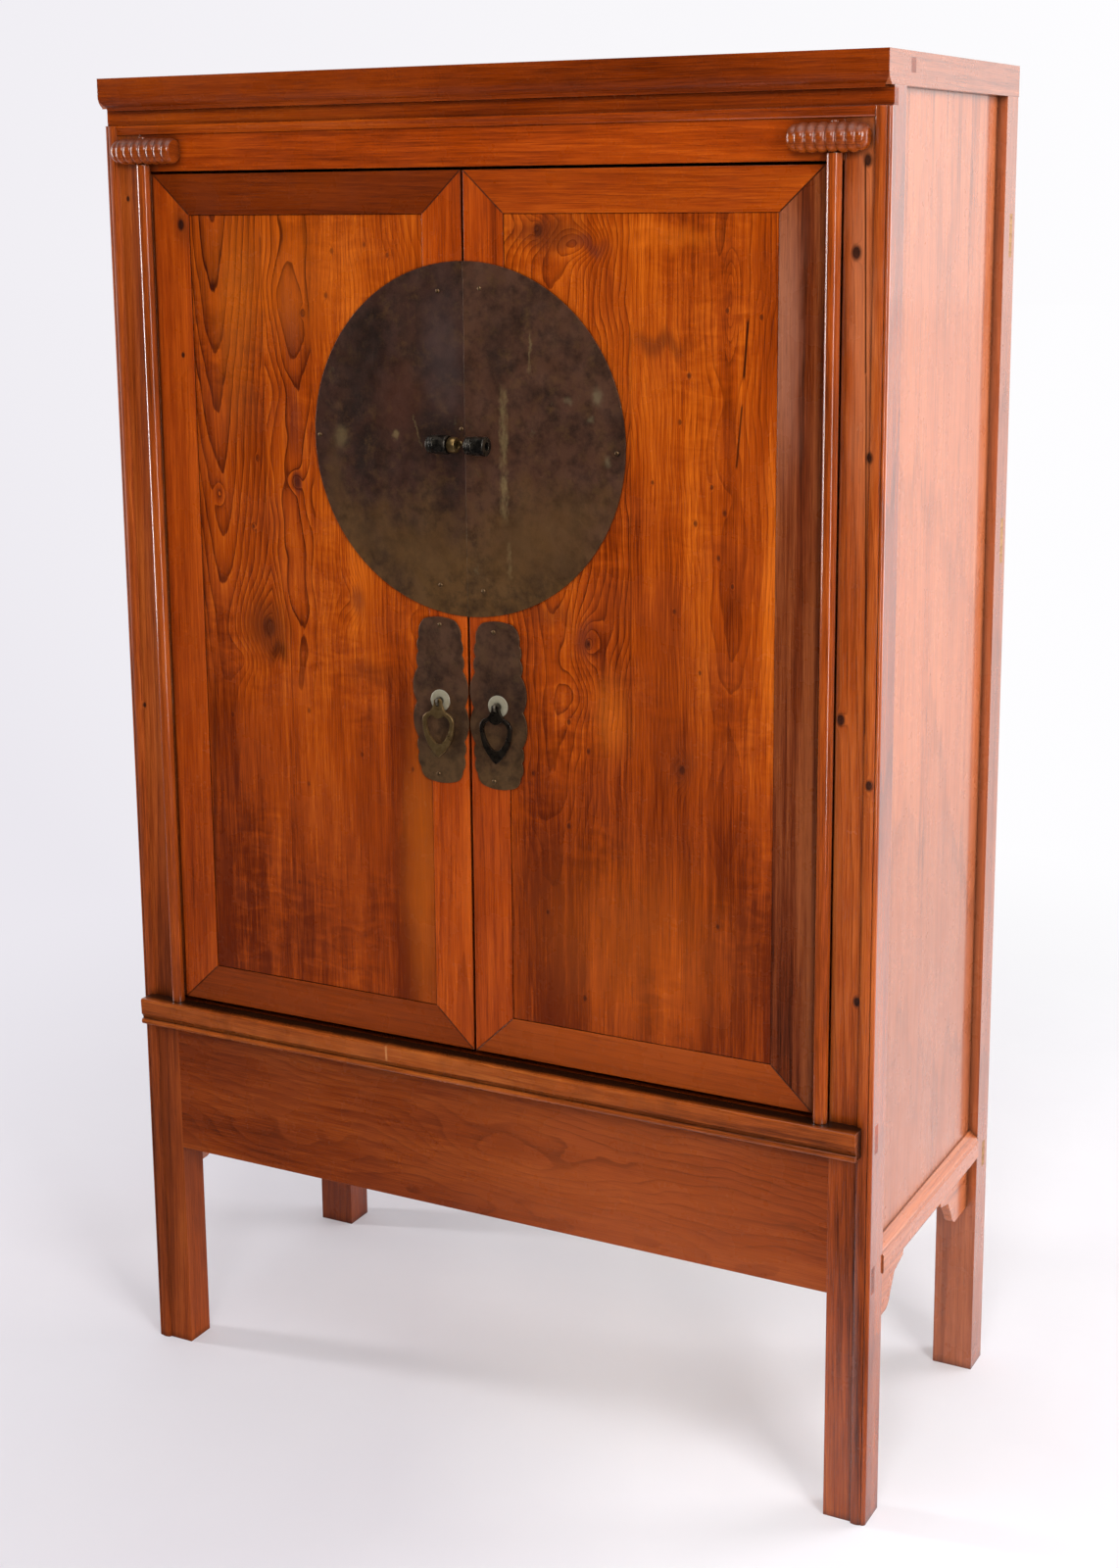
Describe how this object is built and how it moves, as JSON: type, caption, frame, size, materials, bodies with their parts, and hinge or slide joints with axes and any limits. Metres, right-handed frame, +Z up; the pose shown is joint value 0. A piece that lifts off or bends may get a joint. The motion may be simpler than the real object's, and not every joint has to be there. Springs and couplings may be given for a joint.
{
  "type": "chinese wedding cabinet",
  "caption": "Tall lacquered wood cabinet on square legs, with pole-pivot doors, a round brass lock plate and peach-shaped bail pulls.",
  "frame": {"origin": "on the floor, in the middle of the overall box", "axes": "+X to the right along the front, +Y from the front to the back, +Z up"},
  "size_m": [1.13, 0.5346, 1.85],
  "materials": {
    "frame_wood": "glossy orange-brown lacquer",
    "figured_wood": "glossy lacquer over strong cathedral grain",
    "side_wood": "glossy pinkish brown lacquer",
    "carved_wood": "glossy dark red-brown lacquer",
    "raw_wood": "dry unlacquered wood",
    "aged_brass": "dark brown to olive patina",
    "pale_metal": "pale worn white brass",
    "dark_metal": "blackened, satin",
    "bail_brass": "dark worn brass with bright rims"
  },
  "bodies": {
    "carcass": {"back_lower_rail": "raw_wood", "back_middle_rail": "raw_wood", "back_panels": "raw_wood", "back_upper_rail": "raw_wood", "chamber_bearers": "raw_wood", "chamber_floor": "raw_wood", "frieze_rail": "frame_wood", "front_apron": "frame_wood", "front_left_post": "frame_wood", "front_right_post": "frame_wood", "left_hinge_block": "carved_wood", "left_side_brackets": "frame_wood", "left_side_panel": "side_wood", "left_side_rail": "frame_wood", "left_side_strip": "frame_wood", "middle_shelf": "raw_wood", "neck_moulding": "frame_wood", "rear_left_post": "frame_wood", "rear_right_post": "frame_wood", "right_hinge_block": "carved_wood", "right_side_brackets": "frame_wood", "right_side_panel": "side_wood", "right_side_rail": "frame_wood", "right_side_strip": "frame_wood", "shelf_bearers": "raw_wood", "sill_moulding": "frame_wood", "sill_rail": "frame_wood", "top_batten": "raw_wood", "top_front_rail": "frame_wood", "top_left_rail": "frame_wood", "top_panel": "frame_wood", "top_rear_rail": "frame_wood", "top_right_rail": "frame_wood"},
    "left_door": {"left_door_battens": "raw_wood", "left_door_bottom_rail": "frame_wood", "left_door_inner_stile": "frame_wood", "left_door_outer_stile": "frame_wood", "left_door_panel": "figured_wood", "left_door_top_rail": "frame_wood", "left_lock_lug": "dark_metal", "left_lock_plate": "aged_brass", "left_pivot_pole": "frame_wood", "left_pull_eye": "pale_metal", "left_pull_plate": "aged_brass", "seam_lock_ring": "pale_metal"},
    "right_door": {"right_door_battens": "raw_wood", "right_door_bottom_rail": "frame_wood", "right_door_inner_stile": "frame_wood", "right_door_outer_stile": "frame_wood", "right_door_panel": "figured_wood", "right_door_top_rail": "frame_wood", "right_lock_lug": "dark_metal", "right_lock_plate": "aged_brass", "right_pivot_pole": "frame_wood", "right_pull_eye": "pale_metal", "right_pull_plate": "aged_brass"},
    "left_bail": {"left_bail": "bail_brass"},
    "right_bail": {"right_bail": "bail_brass"},
    "left_lid": {"left_chamber_lid": "raw_wood"},
    "right_lid": {"right_chamber_lid": "raw_wood"}
  },
  "joints": [
    {"name": "left_door_swing", "type": "hinge", "parent": "carcass", "child": "left_door", "pos_m": [-0.496, -0.23865, 0.545], "axis": [0, 0, -1], "range_deg": [0, 175]},
    {"name": "right_door_swing", "type": "hinge", "parent": "carcass", "child": "right_door", "pos_m": [0.496, -0.23865, 0.545], "axis": [0, 0, 1], "range_deg": [0, 175]},
    {"name": "left_bail_swing", "type": "hinge", "parent": "left_door", "child": "left_bail", "pos_m": [-0.0465, -0.24295, 1.03497], "axis": [-1, 0, 0], "range_deg": [0, 150]},
    {"name": "right_bail_swing", "type": "hinge", "parent": "right_door", "child": "right_bail", "pos_m": [0.0405, -0.24295, 1.03497], "axis": [-1, 0, 0], "range_deg": [0, 150]},
    {"name": "left_lid_lift", "type": "slide", "parent": "carcass", "child": "left_lid", "axis": [0, 0, 1], "range_m": [0, 0.12]},
    {"name": "right_lid_lift", "type": "slide", "parent": "carcass", "child": "right_lid", "axis": [0, 0, 1], "range_m": [0, 0.12]}
  ]
}
